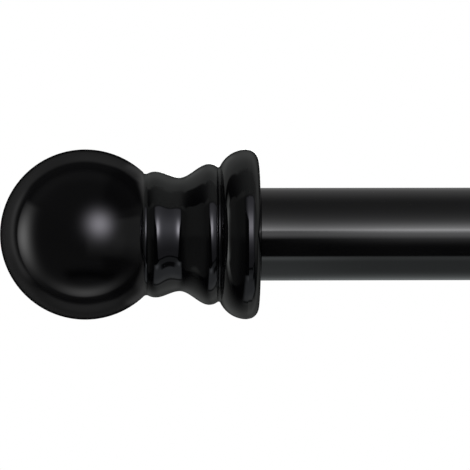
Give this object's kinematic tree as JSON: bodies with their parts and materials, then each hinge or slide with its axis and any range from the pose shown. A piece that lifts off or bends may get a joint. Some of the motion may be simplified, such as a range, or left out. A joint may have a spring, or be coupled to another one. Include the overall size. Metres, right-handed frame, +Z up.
{
  "type": "extendable curtain rod",
  "caption": "Telescoping black steel curtain rod with a turned ball finial pushed into each end; the inner tube slides out of the outer tube to set the length.",
  "frame": {"origin": "middle of the outer tube, on the rod's axis", "axes": "+X along the rod, from the finial on the outer tube to the finial on the inner tube; +Z up"},
  "size_m": [0.9614, 0.0464, 0.0464],
  "materials": {
    "painted_tube": "gloss black paint",
    "finial_lacquer": "gloss black lacquer on cast resin",
    "bush_plastic": "black nylon",
    "guide_plastic": "black nylon",
    "plug_plastic": "black nylon",
    "screw_steel": "bright zinc plate"
  },
  "bodies": {
    "outer": {"outer_tube": "painted_tube", "mouth_bush": "bush_plastic"},
    "inner": {"inner_tube": "painted_tube", "inner_guide": "guide_plastic"},
    "left_end": {"left_finial": "finial_lacquer", "left_finial_plug": "plug_plastic", "left_plug_screw": "screw_steel"},
    "right_end": {"right_finial": "finial_lacquer", "right_finial_plug": "plug_plastic", "right_plug_screw": "screw_steel"}
  },
  "joints": [
    {"name": "extension", "type": "slide", "parent": "outer", "child": "inner", "axis": [1, 0, 0], "range_m": [-0.118, 0.379]},
    {"name": "left_finial_pull", "type": "slide", "parent": "outer", "child": "left_end", "axis": [-1, 0, 0], "range_m": [0, 0.08]},
    {"name": "right_finial_pull", "type": "slide", "parent": "inner", "child": "right_end", "axis": [1, 0, 0], "range_m": [0, 0.08]}
  ]
}
